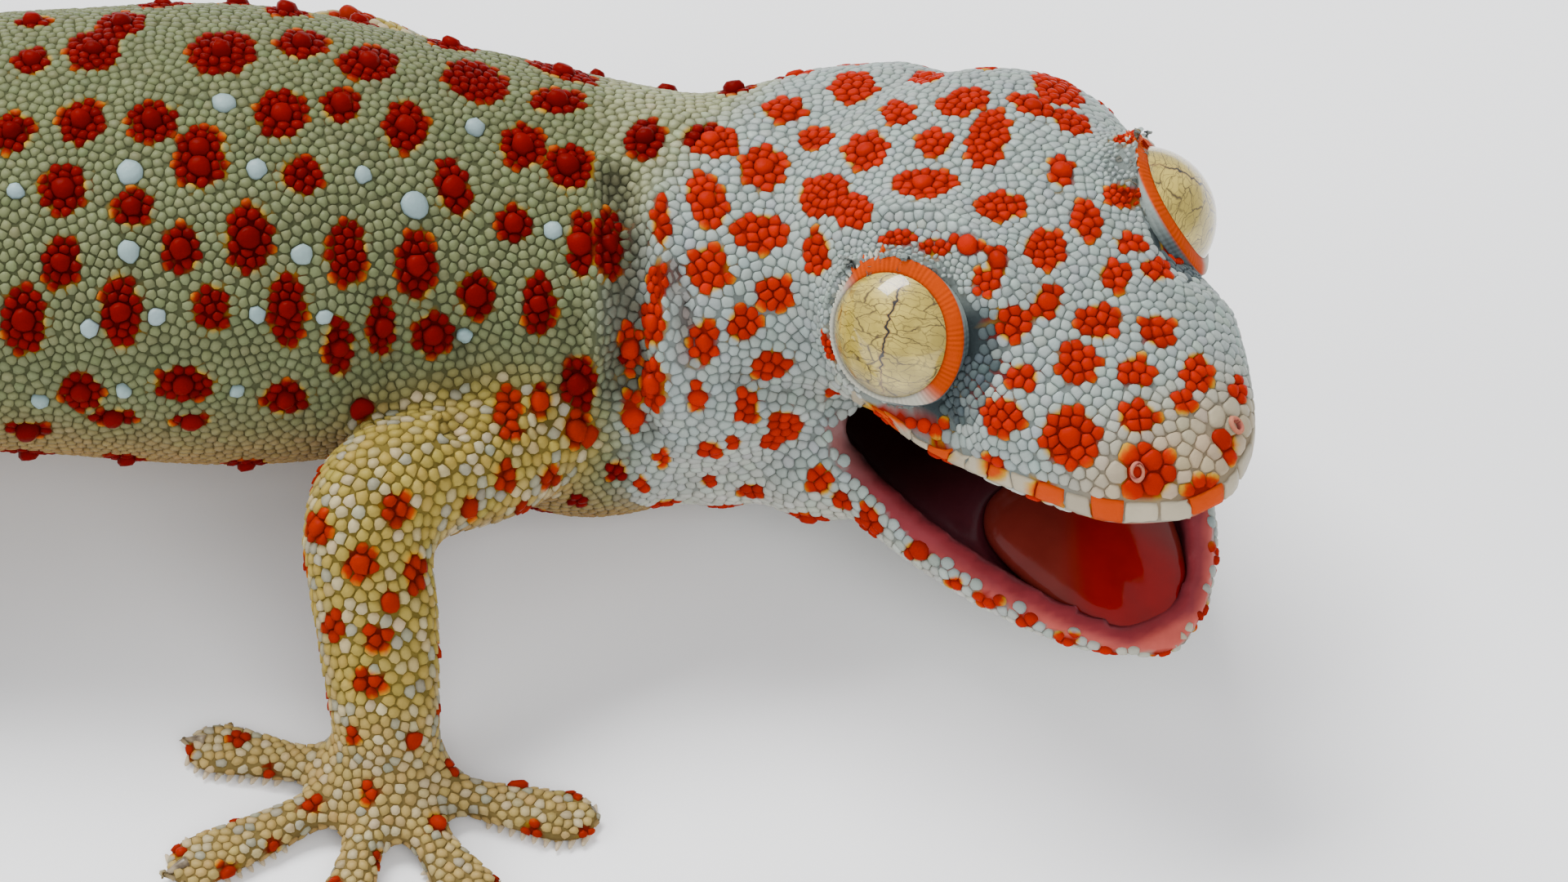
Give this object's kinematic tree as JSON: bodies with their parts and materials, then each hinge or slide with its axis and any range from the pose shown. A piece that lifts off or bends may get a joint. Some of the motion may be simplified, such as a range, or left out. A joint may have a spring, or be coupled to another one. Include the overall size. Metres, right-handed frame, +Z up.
{
  "type": "tokay gecko",
  "caption": "Life-size standing lizard with its head turned and mouth open, legs spread and tail curved along the floor.",
  "frame": {"origin": "middle of the box that the animal fills, at the floor it stands on", "axes": "+X towards the head along the body, +Y towards its left side, +Z up"},
  "size_m": [0.2488, 0.1322, 0.0366],
  "materials": {
    "hide_head": "fine round scales, pale blue-grey with orange-red spots",
    "hide_body": "granular scales with raised tubercles, grey-green with deep red spots",
    "hide_limb": "overlapping scales, olive-cream with orange-red spots",
    "eye": "wet gloss over a golden veined iris",
    "tongue": "wet gloss, deep red"
  },
  "bodies": {
    "root": {"head": "hide_head", "lower_jaw": "hide_head", "neck": "hide_head", "tongue": "tongue", "eye_left": "eye", "eye_right": "eye", "torso_front": "hide_body", "torso_rear": "hide_body", "tail_base": "hide_body", "tail_middle": "hide_body", "tail_tip": "hide_body", "arm_right": "hide_limb", "arm_left": "hide_limb", "leg_right": "hide_limb", "leg_left": "hide_limb", "hand_right": "hide_limb", "hand_left": "hide_limb", "foot_right": "hide_limb", "foot_left": "hide_limb"}
  },
  "joints": []
}
